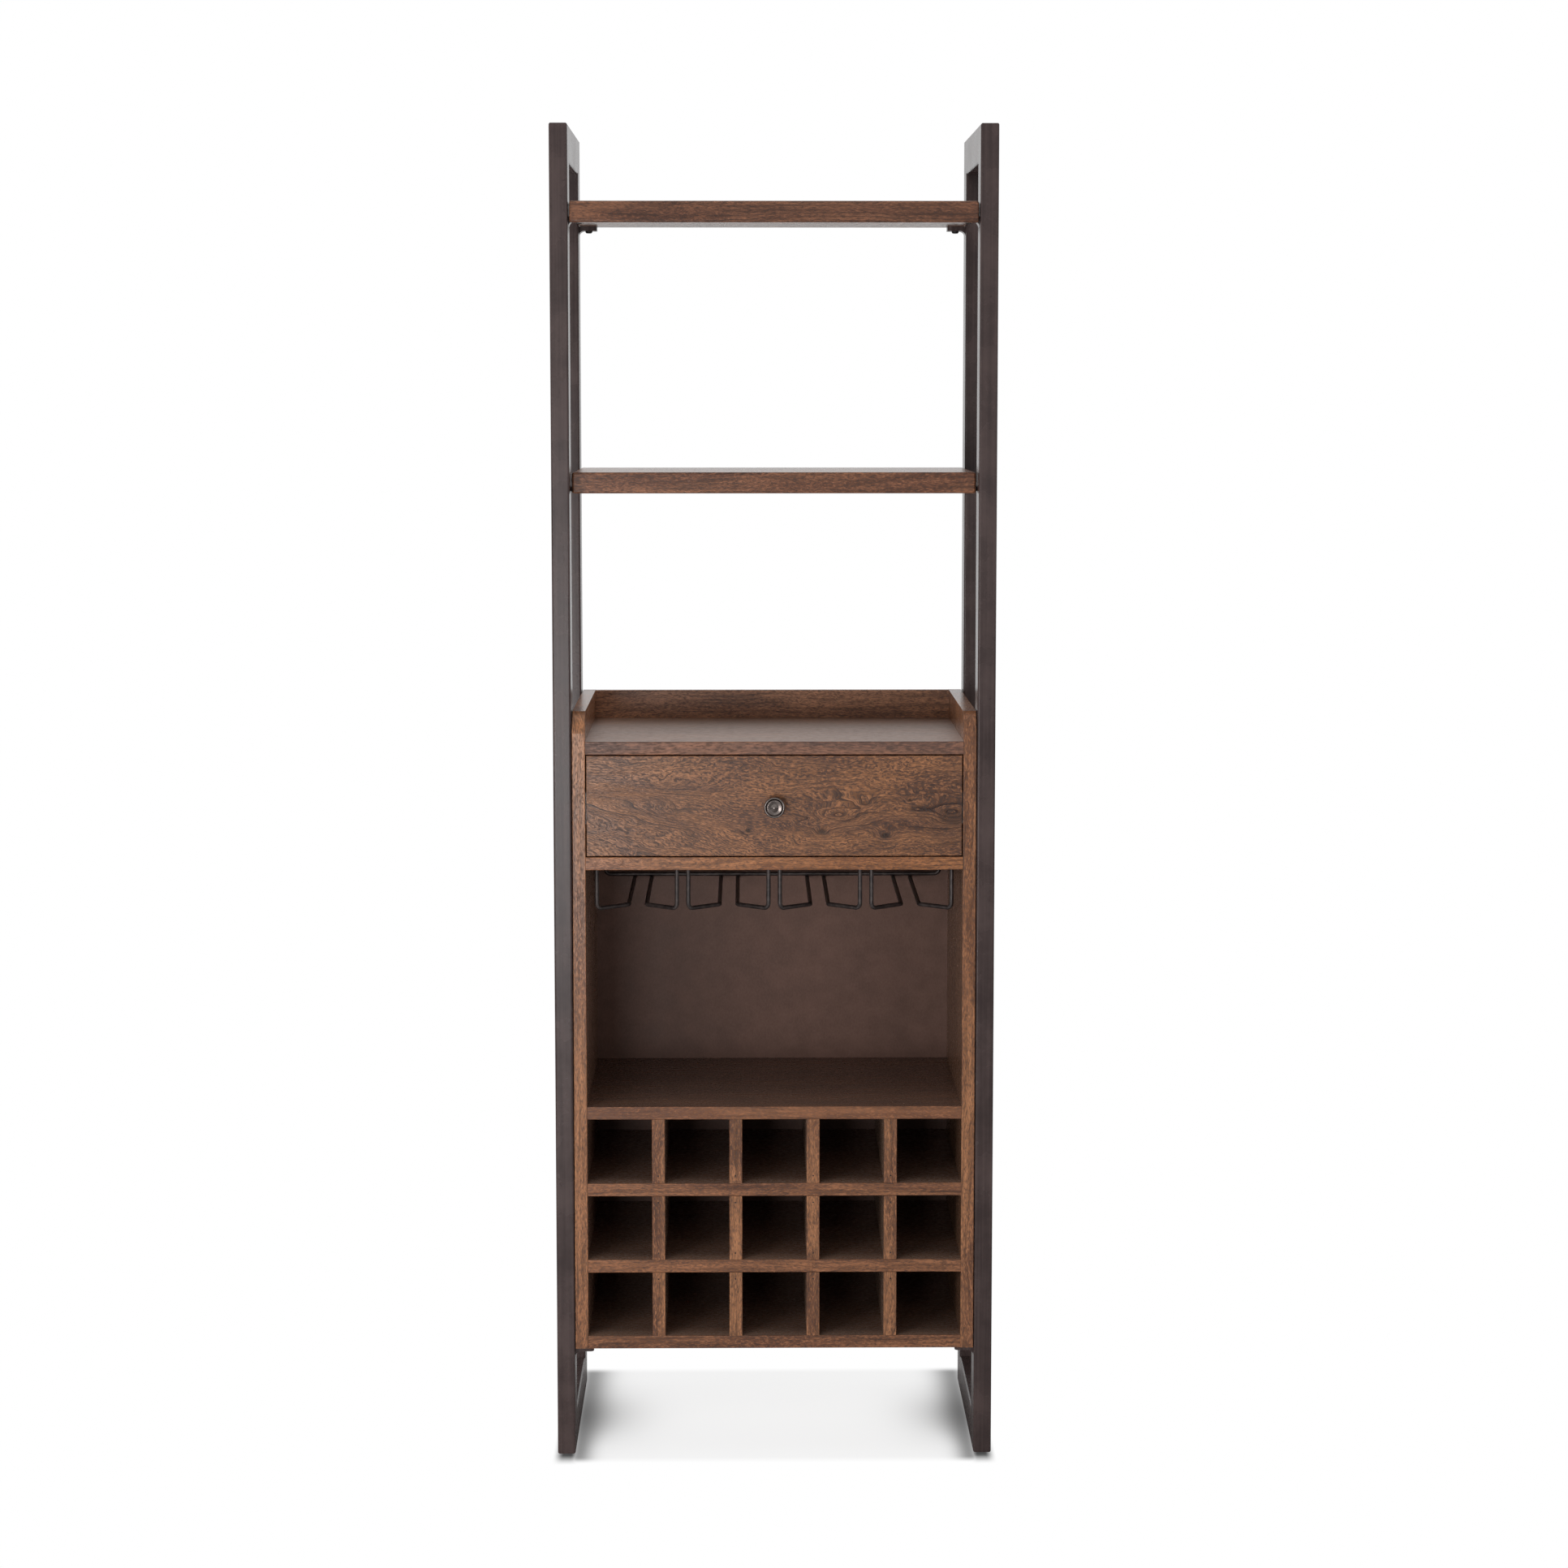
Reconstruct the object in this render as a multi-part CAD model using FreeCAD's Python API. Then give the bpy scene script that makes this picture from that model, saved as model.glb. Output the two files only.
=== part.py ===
import FreeCAD, Part
import math
import os

# Tall bar cabinet: two closed side frames of rectangular steel tube carry two wooden shelves and a
# wooden cabinet with a gallery top, one drawer, a stemware rack and fifteen bottle cells.
# Millimetres. X to the right, Y from the front to the back, Z up. The origin is on the floor,
# under the middle of the whole cabinet, knob included.

V = FreeCAD.Vector
X_AXIS = V(1, 0, 0)
Y_AXIS = V(0, 1, 0)
Z_AXIS = V(0, 0, 1)
ORIGIN = V(0, 0, 0)

# Side frames
frame_width = 610.0
frame_depth_beyond_slides = 50.0
frame_height = 1855.0
tube_face = 25.0
tube_side = 50.0
tube_wall = 2.0
tube_corner_radius = 2.6

# Glides under the frames
glide_height = 6.0
glide_radius = 9.0
glide_round = 3.5
glide_stem_radius = 4.0
glide_stem_length = 14.0

# Lugs and their screws
lug_reach = 26.0
lug_width = 28.0
lug_thickness = 6.5
lug_root_radius = 7.5
lug_tip_radius = 5.0
lug_inset = 10.0
lug_screw_distance = 14.0
screw_radius = 2.0
screw_bite = 12.0
screw_head_radius = 5.2
screw_head_height = 3.2
screw_head_round = 2.8
hole_clearance = 0.05
hole_end_clearance = 1.0

# Shelves
shelf_end_gap = 2.0
shelf_board_thickness = 20.0
shelf_front_height = 29.0
nosing_depth = 20.0
nosing_round = 3.0
top_shelf_drop = 104.0
top_shelf_setback = 1.0
top_shelf_back_setback = 1.0
middle_shelf_lift = 0.75
middle_shelf_setback = 30.0
middle_shelf_back_setback = 48.0

# Cabinet carcass
cabinet_side_gap = 1.0
cabinet_setback = 1.0
cabinet_bottom = 157.0
board_thickness = 18.0
cell_height = 91.0
cell_rows = 3
cell_columns = 5
compartment_height = 333.0
drawer_opening_height = 142.5
gallery_height = 41.0
gallery_front_rise = 30.0
gallery_front_sweep = 16.0
gallery_curve_shares = (0.27, 0.57)
board_round = 1.0
tray_rail_thickness = 12.0
tray_rail_round = 2.0
back_panel_thickness = 6.0
back_rebate_width = 9.0
back_panel_clearance = 0.3
halving_clearance = 0.2

# Dowels and back panel screws
dowel_radius = 4.0
dowel_length = 28.0
dowel_panel_bite = 10.0
dowel_edge_distance = 60.0
back_screw_head_radius = 3.5
back_screw_head_height = 2.0
back_screw_radius = 1.5
back_screw_length = 16.0
back_screw_rows = 5
back_screw_end_distance = 40.0

# Stemware rack
rack_units = 4
rack_side_gap = 13.95
rack_unit_gap = 15.9
rack_slot_half = 12.5
rack_drop = 58.0
rack_wire_radius = 3.0
rack_bend_radius = 8.0
rack_post_setback = 28.0
rack_corner_setback = 66.0
rack_back_gap = 8.0
rack_cross_wire_gap = 14.0
rack_weld_gap = 0.1
rack_socket_depth = 10.0

# Drawer
drawer_front_gap = 1.5
drawer_front_thickness = 18.0
drawer_front_round = 1.0
drawer_box_wall = 12.0
drawer_box_height = 104.0
drawer_box_beyond_slides = 10.0
drawer_box_lift = 14.0
drawer_bottom_thickness = 6.0
drawer_bottom_lift = 10.0
drawer_groove_depth = 5.0
drawer_groove_clearance = 0.2
drawer_front_screw_inset = 40.0
drawer_front_screw_bite = 10.0

# Drawer slides
slide_width = 12.7
slide_height = 45.0
slide_length = 300.0
slide_steel = 1.2
slide_running_gap = 0.3
slide_outer_reach = 9.5
slide_middle_start = 3.6
slide_middle_end = 11.0
slide_inner_start = 5.4
slide_stop_thickness = 1.2
slide_stop_height = 28.0
slide_screw_head_height = 1.4
slide_screw_head_radius = 3.6
slide_screw_bite = 9.0
slide_screw_end_distance = 35.0

# Turned knob
knob_radius = 14.5
knob_reach = 26.0
knob_base_radius = 8.0
knob_base_height = 2.5
knob_neck_radius = 5.0
knob_neck_height = 11.0
knob_rim_start = 17.0
knob_rim_height = 4.5
knob_rim_round = 1.2
knob_bead_half_width = 1.7
knob_step_reach = 24.0
knob_step_round = 1.8
knob_step_drop = 0.6
knob_button_radius = 5.6
knob_thread_radius = 2.0
knob_thread_depth = 10.0
knob_screw_head_radius = 4.0
knob_screw_head_height = 2.8

# One overrun for every cut, and the share within which two directions count as parallel
overrun = 2.0
parallel_share = 0.000001

# Places that follow from the sizes
frame_depth = slide_length + frame_depth_beyond_slides
front_y = (knob_reach - cabinet_setback - frame_depth) / 2
back_y = front_y + frame_depth
frame_half = frame_width / 2
frame_inner = frame_half - tube_face
cabinet_half = frame_inner - cabinet_side_gap
cabinet_inner = cabinet_half - board_thickness
cabinet_front = front_y + cabinet_setback
cabinet_back = back_y - cabinet_setback
panel_front = cabinet_back - back_panel_thickness
cell_pitch = cell_height + board_thickness
cells_bottom = cabinet_bottom + board_thickness
floor_bottom = cells_bottom + cell_rows * cell_pitch - board_thickness
floor_top = floor_bottom + board_thickness
ceiling_bottom = floor_top + compartment_height
ceiling_top = ceiling_bottom + board_thickness
tray_bottom = ceiling_top + drawer_opening_height
tray_top = tray_bottom + board_thickness
gallery_top = tray_top + gallery_height
top_shelf_top = frame_height - top_shelf_drop
middle_shelf_top = (tray_top + top_shelf_top) / 2 + middle_shelf_lift
cell_width = (2 * cabinet_inner - (cell_columns - 1) * board_thickness) / cell_columns
cabinet_middle_y = (cabinet_front + panel_front) / 2
rack_rail_z = ceiling_bottom - rack_drop
rack_posts_span = 2 * (cabinet_inner - rack_side_gap) - (rack_units - 1) * rack_unit_gap
rack_post_offset = rack_posts_span / rack_units / 2
rack_pitch = 2 * rack_post_offset + rack_unit_gap
drawer_box_half = cabinet_inner - slide_width
drawer_box_length = slide_length + drawer_box_beyond_slides
drawer_box_front_y = cabinet_front + drawer_front_thickness
drawer_box_bottom = ceiling_top + drawer_box_lift
drawer_box_top = drawer_box_bottom + drawer_box_height
drawer_middle_z = ceiling_top + drawer_opening_height / 2
slide_z = drawer_box_bottom + drawer_box_height / 2
slide_front_y = drawer_box_front_y + slide_running_gap
slide_back_y = slide_front_y + slide_length
lug_places = [front_y + nosing_depth + top_shelf_setback, back_y - lug_inset - lug_width]


def block(x0, x1, y0, y1, z0, z1):
    return Part.makeBox(x1 - x0, y1 - y0, z1 - z0, V(x0, y0, z0))


def rod(radius, start, direction, length):
    return Part.makeCylinder(radius, length, start, direction)


def edges_along(shape, axis):
    found = []
    for edge in shape.Edges:
        direction = edge.tangentAt(edge.FirstParameter)
        if abs(direction.dot(axis)) > 1 - parallel_share:
            found.append(edge)
    return found


def rounded_block(x0, x1, y0, y1, z0, z1, radius, axis):
    solid = block(x0, x1, y0, y1, z0, z1)
    return solid.makeFillet(radius, edges_along(solid, axis))


def mirrored(shape):
    return shape.mirror(ORIGIN, X_AXIS)


def mirrored_depth(shape):
    return shape.mirror(V(0, (front_y + back_y) / 2, 0), Y_AXIS)


# Rectangular tube, seen from the side as a four-cornered outline that gives it its mitred ends
def mitred_tube(y0, y1, z0, z1, axis, outline):
    inner_radius = max(tube_corner_radius - tube_wall, tube_wall / 4)
    x0 = -frame_half
    x1 = -frame_inner
    outer = rounded_block(x0, x1, y0, y1, z0, z1, tube_corner_radius, axis)
    past_y = overrun if axis.y else -tube_wall
    past_z = overrun if axis.z else -tube_wall
    bore = rounded_block(x0 + tube_wall, x1 - tube_wall, y0 - past_y, y1 + past_y,
                         z0 - past_z, z1 + past_z, inner_radius, axis)
    points = [V(x0 - overrun, y, z) for y, z in outline]
    points.append(points[0])
    prism = Part.Face(Part.makePolygon(points)).extrude(V(tube_face + 2 * overrun, 0, 0))
    return outer.cut(bore).common(prism)


def front_leg():
    y1 = front_y + tube_side
    outline = [(front_y, glide_height), (front_y, frame_height),
               (y1, frame_height - tube_side), (y1, glide_height + tube_side)]
    return mitred_tube(front_y, y1, glide_height, frame_height, Z_AXIS, outline)


def top_bar():
    z0 = frame_height - tube_side
    outline = [(front_y, frame_height), (back_y, frame_height),
               (back_y - tube_side, z0), (front_y + tube_side, z0)]
    return mitred_tube(front_y, back_y, z0, frame_height, Y_AXIS, outline)


def glide_spots():
    x = frame_half - tube_face / 2
    ys = [front_y + tube_side / 2, back_y - tube_side / 2]
    return [V(side * x, y, 0) for side in (-1, 1) for y in ys]


def bottom_bar():
    z1 = glide_height + tube_side
    outline = [(front_y, glide_height), (back_y, glide_height),
               (back_y - tube_side, z1), (front_y + tube_side, z1)]
    bar = mitred_tube(front_y, back_y, glide_height, z1, Y_AXIS, outline)
    for spot in glide_spots():
        bar = bar.cut(rod(glide_stem_radius + hole_clearance, spot, Z_AXIS, glide_height + tube_wall + overrun))
    return bar


def glide(spot):
    button = rod(glide_radius, spot, Z_AXIS, glide_height)
    rim = [edge for edge in button.Edges if edge.isClosed() and edge.CenterOfMass.z < glide_height / 2]
    button = button.makeFillet(glide_round, rim)
    stem = rod(glide_stem_radius, spot + V(0, 0, glide_height), Z_AXIS, glide_stem_length)
    return button.fuse(stem).removeSplitter()


# Welded lug on the inner side of a left leg, with a rounded root and a rounded free end
def inner_lug(y0, top):
    x0 = -frame_inner
    x1 = x0 + lug_reach
    under = top - lug_thickness
    r = lug_root_radius
    bow = r * (1 - math.sqrt(0.5))
    arc = Part.Arc(V(x0 + r, y0, under), V(x0 + bow, y0, under - bow), V(x0, y0, under - r))
    outline = [Part.LineSegment(V(x0, y0, top), V(x1, y0, top)),
               Part.LineSegment(V(x1, y0, top), V(x1, y0, under)),
               Part.LineSegment(V(x1, y0, under), V(x0 + r, y0, under)),
               arc,
               Part.LineSegment(V(x0, y0, under - r), V(x0, y0, top))]
    face = Part.Face(Part.Wire([piece.toShape() for piece in outline]))
    lug = face.extrude(V(0, lug_width, 0))
    tip = [edge for edge in edges_along(lug, Z_AXIS) if edge.CenterOfMass.x > x1 - parallel_share]
    lug = lug.makeFillet(lug_tip_radius, tip)
    return lug.cut(lug_screw_hole(x0 + lug_screw_distance, y0 + lug_width / 2, under))


# Flat lug welded to the back of a left front leg, reaching in under the middle shelf
def flat_lug(top):
    x1 = -frame_inner + lug_reach
    y0 = front_y + tube_side
    under = top - lug_thickness
    lug = block(-frame_half + tube_corner_radius, x1, y0, y0 + lug_width, under, top)
    tip = [edge for edge in edges_along(lug, Z_AXIS) if edge.CenterOfMass.x > x1 - parallel_share]
    lug = lug.makeFillet(lug_tip_radius, tip)
    return lug.cut(lug_screw_hole(-frame_inner + lug_screw_distance, y0 + lug_width / 2, under))


def lug_screw_hole(x, y, under):
    return rod(screw_radius + hole_clearance, V(x, y, under - overrun), Z_AXIS, lug_thickness + 2 * overrun)


def lug_screw(x, y, top):
    under = top - lug_thickness
    head = rod(screw_head_radius, V(x, y, under - screw_head_height), Z_AXIS, screw_head_height)
    low = under - screw_head_height / 2
    rim = [edge for edge in head.Edges if edge.isClosed() and edge.CenterOfMass.z < low]
    head = head.makeFillet(screw_head_round, rim)
    shank = rod(screw_radius, V(x, y, under), Z_AXIS, lug_thickness + screw_bite)
    return head.fuse(shank).removeSplitter()


def four_sides(left_front, left_back):
    return [left_front, left_back, mirrored(left_front), mirrored(left_back)]


def screw_spots(ys):
    x = frame_inner - lug_screw_distance
    return [(side * x, y) for side in (-1, 1) for y in ys]


def drilled_from_below(board, ys, under):
    for x, y in screw_spots(ys):
        depth = screw_bite + hole_end_clearance
        start = V(x, y, under - overrun)
        board = board.cut(rod(screw_radius + hole_clearance, start, Z_AXIS, depth + overrun))
    return board


def shelf_board(top, setback, back_setback, ys):
    half = frame_inner - shelf_end_gap
    y0 = front_y + setback + nosing_depth
    y1 = back_y - back_setback
    under = top - shelf_board_thickness
    board = block(-half, half, y0, y1, under, top)
    ends = [edge for edge in edges_along(board, Y_AXIS) if edge.CenterOfMass.z > top - parallel_share]
    return drilled_from_below(board.makeFillet(nosing_round, ends), ys, under)


def shelf_nosing(top, setback):
    half = frame_inner - shelf_end_gap
    y0 = front_y + setback
    y1 = y0 + nosing_depth
    strip = block(-half, half, y0, y1, top - shelf_front_height, top)
    rim = [edge for edge in strip.Edges if edge.CenterOfMass.y < y1 - parallel_share]
    return strip.makeFillet(nosing_round, rim)


# Holes for the dowels that hold the boards between the side panels, and the dowels themselves
def dowel_spots():
    spots = []
    for z0 in (cabinet_bottom, floor_bottom, ceiling_bottom, tray_bottom):
        for y in (cabinet_front + dowel_edge_distance, panel_front - dowel_edge_distance):
            spots.append((y, z0 + board_thickness / 2))
    return spots


def dowel(y, z, slack):
    start = V(-cabinet_inner - dowel_panel_bite - slack, y, z)
    return rod(dowel_radius + slack, start, X_AXIS, dowel_length + 2 * slack)


def with_dowel_holes(shape, z0, z1):
    for y, z in dowel_spots():
        if z0 < z < z1:
            hole = dowel(y, z, hole_clearance)
            shape = shape.cut(hole).cut(mirrored(hole))
    return shape


def eased_front(board, axis):
    rim = [edge for edge in edges_along(board, axis) if edge.CenterOfMass.y < cabinet_front + board_round]
    return board.makeFillet(board_round, rim)


def carcass_board(z0, y1):
    board = block(-cabinet_inner, cabinet_inner, cabinet_front, y1, z0, z0 + board_thickness)
    return with_dowel_holes(eased_front(board, X_AXIS), z0, z0 + board_thickness)


# Long front edges of a side panel, the curved stretch at the top included
def front_rim(panel):
    rim = []
    for edge in panel.Edges:
        across = abs(edge.BoundBox.XLength) > board_round
        behind = edge.CenterOfMass.y > cabinet_front + gallery_front_sweep
        if not across and not behind:
            rim.append(edge)
    return rim


# Side panel whose upper front corner sweeps back to the top edge of the gallery
def side_panel():
    rise_z = gallery_top - gallery_front_rise
    sweep_y = cabinet_front + gallery_front_sweep
    middle = V(-cabinet_half, cabinet_front + gallery_front_sweep * gallery_curve_shares[0],
               rise_z + gallery_front_rise * gallery_curve_shares[1])
    low = V(-cabinet_half, cabinet_front, cabinet_bottom)
    low_back = V(-cabinet_half, cabinet_back, cabinet_bottom)
    top_back = V(-cabinet_half, cabinet_back, gallery_top)
    top_front = V(-cabinet_half, sweep_y, gallery_top)
    curve_start = V(-cabinet_half, cabinet_front, rise_z)
    outline = [Part.LineSegment(low, low_back),
               Part.LineSegment(low_back, top_back),
               Part.LineSegment(top_back, top_front),
               Part.Arc(top_front, middle, curve_start),
               Part.LineSegment(curve_start, low)]
    panel = Part.Face(Part.Wire([piece.toShape() for piece in outline])).extrude(V(board_thickness, 0, 0))
    panel = panel.makeFillet(board_round, front_rim(panel))
    rebate = block(-cabinet_inner - back_rebate_width, -cabinet_inner + overrun, panel_front,
                   cabinet_back + overrun, cabinet_bottom - overrun, tray_bottom)
    panel = with_dowel_holes(panel.cut(rebate), cabinet_bottom, gallery_top)
    return drill_back_screws(drill_slide_screws(panel))


# Rail behind the tray board, standing on the back panel between the two sides
def tray_back_rail():
    y0 = cabinet_back - tray_rail_thickness
    rail = block(-cabinet_inner, cabinet_inner, y0, cabinet_back, tray_bottom, gallery_top)
    rim = [edge for edge in edges_along(rail, X_AXIS) if edge.CenterOfMass.z > gallery_top - parallel_share]
    return rail.makeFillet(tray_rail_round, rim)


def divider_x(index):
    return -cabinet_inner + (index + 1) * cell_width + index * board_thickness


def shelf_z(index):
    return cells_bottom + (index + 1) * cell_height + index * board_thickness


# The bottle shelves run through at the front and are slotted from behind for the dividers
def bottle_shelf(index):
    z0 = shelf_z(index)
    z1 = z0 + board_thickness
    shelf = eased_front(block(-cabinet_inner, cabinet_inner, cabinet_front, panel_front, z0, z1), X_AXIS)
    for column in range(cell_columns - 1):
        x0 = divider_x(column) - halving_clearance
        x1 = divider_x(column) + board_thickness + halving_clearance
        shelf = shelf.cut(block(x0, x1, cabinet_middle_y, panel_front + overrun, z0 - overrun, z1 + overrun))
    return shelf


# The dividers are slotted from the front for the bottle shelves
def bottle_divider(index):
    x0 = divider_x(index)
    x1 = x0 + board_thickness
    divider = eased_front(block(x0, x1, cabinet_front, panel_front, cells_bottom, floor_bottom), Z_AXIS)
    for row in range(cell_rows - 1):
        z0 = shelf_z(row) - halving_clearance
        z1 = shelf_z(row) + board_thickness + halving_clearance
        divider = divider.cut(block(x0 - overrun, x1 + overrun, cabinet_front - overrun,
                                    cabinet_middle_y, z0, z1))
    return divider


def back_screw_spots():
    x = cabinet_inner + back_rebate_width / 2
    low = cabinet_bottom + back_screw_end_distance
    step = (tray_bottom - back_screw_end_distance - low) / (back_screw_rows - 1)
    return [(side * x, low + row * step) for side in (-1, 1) for row in range(back_screw_rows)]


def back_screw(x, z, slack):
    head_start = V(x, cabinet_back - back_screw_head_height, z)
    head = rod(back_screw_head_radius + slack, head_start, Y_AXIS, back_screw_head_height)
    tip = V(x, cabinet_back - back_screw_length - slack, z)
    shank = rod(back_screw_radius + slack, tip, Y_AXIS, back_screw_length - back_screw_head_height + slack)
    return head.fuse(shank)


def drill_back_screws(shape):
    for x, z in back_screw_spots():
        shape = shape.cut(back_screw(x, z, hole_clearance))
    return shape


def back_panel():
    half = cabinet_inner + back_rebate_width - back_panel_clearance
    panel = block(-half, half, panel_front, cabinet_back, cabinet_bottom, tray_bottom)
    return drill_back_screws(panel)


# Wire bent through its corner points with one bend radius
def bent_wire(points, radius, bend):
    pieces = []
    start = points[0]
    for before, corner, after in zip(points, points[1:], points[2:]):
        to_before = (before - corner).normalize()
        to_after = (after - corner).normalize()
        half_turn = (math.pi - to_before.getAngle(to_after)) / 2
        reach = bend * math.tan(half_turn)
        first = corner + to_before * reach
        last = corner + to_after * reach
        inward = (to_before + to_after).normalize()
        depth = bend / math.cos(half_turn) - bend
        pieces.append(Part.LineSegment(start, first).toShape())
        pieces.append(Part.Arc(first, corner + inward * depth, last).toShape())
        start = last
    pieces.append(Part.LineSegment(start, points[-1]).toShape())
    section = Part.Wire(Part.Circle(points[0], points[1] - points[0], radius).toShape())
    return Part.Wire(pieces).makePipeShell([section], True, False)


def rack_centre(unit):
    return (unit - (rack_units - 1) / 2) * rack_pitch


def rack_back_end():
    return panel_front - rack_back_gap


# One hanger: a left and a right wire that come down from the ceiling, turn in and run to the back
def glass_hanger(unit):
    centre = rack_centre(unit)
    post_y = cabinet_front + rack_post_setback
    corner_y = cabinet_front + rack_corner_setback
    wires = []
    for side in (-1, 1):
        post_x = centre + side * rack_post_offset
        rail_x = centre + side * rack_slot_half
        points = [V(post_x, post_y, ceiling_bottom + rack_socket_depth),
                  V(post_x, post_y, rack_rail_z),
                  V(rail_x, corner_y, rack_rail_z),
                  V(rail_x, rack_back_end(), rack_rail_z)]
        wires.append(bent_wire(points, rack_wire_radius, rack_bend_radius))
    return wires


def cross_wire_end_x():
    return rack_centre(rack_units - 1) + rack_post_offset


def cross_wire_y():
    return rack_back_end() - rack_cross_wire_gap


def rack_cross_wire():
    x = cross_wire_end_x()
    y = cross_wire_y()
    z = rack_rail_z - 2 * rack_wire_radius - rack_weld_gap
    top = ceiling_bottom + rack_socket_depth
    points = [V(-x, y, top), V(-x, y, z), V(x, y, z), V(x, y, top)]
    return bent_wire(points, rack_wire_radius, rack_bend_radius)


# Ceiling of the open compartment, drilled from below for the ends of the rack's wires
def ceiling_board():
    board = carcass_board(ceiling_bottom, panel_front)
    spots = [(side * cross_wire_end_x(), cross_wire_y()) for side in (-1, 1)]
    for unit in range(rack_units):
        for side in (-1, 1):
            spots.append((rack_centre(unit) + side * rack_post_offset, cabinet_front + rack_post_setback))
    for x, y in spots:
        start = V(x, y, ceiling_bottom - overrun)
        depth = rack_socket_depth + hole_end_clearance
        board = board.cut(rod(rack_wire_radius + hole_clearance, start, Z_AXIS, depth + overrun))
    return board


def front_screw_spots():
    x = drawer_box_half - drawer_box_wall - drawer_front_screw_inset
    spread = drawer_box_height / 4
    middle = drawer_box_bottom + drawer_box_height / 2
    return [(side * x, middle + lift) for side in (-1, 1) for lift in (-spread, spread)]


def front_screw(x, z):
    inside = drawer_box_front_y + drawer_box_wall
    head = rod(screw_head_radius, V(x, inside, z), Y_AXIS, screw_head_height)
    rim = [edge for edge in head.Edges if edge.isClosed() and edge.CenterOfMass.y > inside + screw_head_height / 2]
    head = head.makeFillet(screw_head_round, rim)
    length = drawer_box_wall + drawer_front_screw_bite
    shank = rod(screw_radius, V(x, inside, z), -Y_AXIS, length)
    return head.fuse(shank).removeSplitter()


def front_screw_hole(x, z):
    length = drawer_box_wall + drawer_front_screw_bite + hole_end_clearance + overrun
    start = V(x, drawer_box_front_y + drawer_box_wall + overrun, z)
    return rod(screw_radius + hole_clearance, start, -Y_AXIS, length)


def knob_screw_hole():
    start = V(0, cabinet_front - overrun, drawer_middle_z)
    length = drawer_front_thickness + drawer_box_wall + 2 * overrun
    return rod(knob_thread_radius + hole_clearance, start, Y_AXIS, length)


def drawer_front():
    half = cabinet_inner - drawer_front_gap
    z0 = ceiling_top + drawer_front_gap
    z1 = tray_bottom - drawer_front_gap
    panel = block(-half, half, cabinet_front, drawer_box_front_y, z0, z1)
    middle = cabinet_front + drawer_front_round
    rim = [edge for edge in panel.Edges if edge.CenterOfMass.y < middle]
    panel = panel.makeFillet(drawer_front_round, rim).cut(knob_screw_hole())
    for x, z in front_screw_spots():
        panel = panel.cut(front_screw_hole(x, z))
    return panel


# Space of the drawer's bottom panel with its groove clearance, cut from the four walls
def bottom_panel_block(slack):
    half = drawer_box_half - drawer_box_wall + drawer_groove_depth
    y0 = drawer_box_front_y + drawer_box_wall - drawer_groove_depth
    y1 = drawer_box_front_y + drawer_box_length - drawer_box_wall + drawer_groove_depth
    z0 = drawer_box_bottom + drawer_bottom_lift
    z1 = z0 + drawer_bottom_thickness
    return block(-half - slack, half + slack, y0 - slack, y1 + slack, z0 - slack, z1 + slack)


def drawer_side():
    x0 = -drawer_box_half
    y1 = drawer_box_front_y + drawer_box_length
    wall = block(x0, x0 + drawer_box_wall, drawer_box_front_y, y1, drawer_box_bottom, drawer_box_top)
    wall = wall.cut(bottom_panel_block(drawer_groove_clearance))
    for y in slide_screw_places():
        wall = wall.cut(slide_screw_hole(x0, 1, y))
    return wall


def drawer_cross_wall(y0):
    half = drawer_box_half - drawer_box_wall
    wall = block(-half, half, y0, y0 + drawer_box_wall, drawer_box_bottom, drawer_box_top)
    return wall.cut(bottom_panel_block(drawer_groove_clearance))


def drawer_box_front():
    wall = drawer_cross_wall(drawer_box_front_y).cut(knob_screw_hole())
    for x, z in front_screw_spots():
        wall = wall.cut(front_screw_hole(x, z))
    return wall


def drawer_box_back():
    return drawer_cross_wall(drawer_box_front_y + drawer_box_length - drawer_box_wall)


# Channel of folded steel: a web with a flange above and below, seen along its length
def channel(web_x, flange_x, half_height, y0, y1):
    opens = 1 if flange_x > web_x else -1
    ends = sorted([web_x, flange_x])
    outer = block(ends[0], ends[1], y0, y1, slide_z - half_height, slide_z + half_height)
    folds = [edge for edge in edges_along(outer, Y_AXIS) if abs(edge.CenterOfMass.x - web_x) < slide_steel]
    outer = outer.makeFillet(slide_steel, folds)
    hollow = sorted([web_x + opens * slide_steel, flange_x + opens * overrun])
    low = slide_z - half_height + slide_steel
    high = slide_z + half_height - slide_steel
    return outer.cut(block(hollow[0], hollow[1], y0 - overrun, y1 + overrun, low, high))


def slide_screw_places():
    return [slide_front_y + slide_screw_end_distance, slide_back_y - slide_screw_end_distance]


# A slide screw: its head lies on the web's inner side and its shank runs through into the wood
def slide_screw(wood_x, into_wood, y):
    web_x = wood_x - into_wood * slide_steel
    direction = X_AXIS * into_wood
    head = rod(slide_screw_head_radius, V(web_x, y, slide_z), -direction, slide_screw_head_height)
    shank = rod(screw_radius, V(web_x, y, slide_z), direction, slide_steel + slide_screw_bite)
    return head.fuse(shank).removeSplitter()


def slide_screw_hole(wood_x, into_wood, y):
    start = V(wood_x - into_wood * (slide_steel + overrun), y, slide_z)
    length = slide_steel + overrun + slide_screw_bite + hole_end_clearance
    return rod(screw_radius + hole_clearance, start, X_AXIS * into_wood, length)


def drill_slide_screws(panel):
    for y in slide_screw_places():
        panel = panel.cut(slide_screw_hole(-cabinet_inner, -1, y))
    return panel


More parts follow.
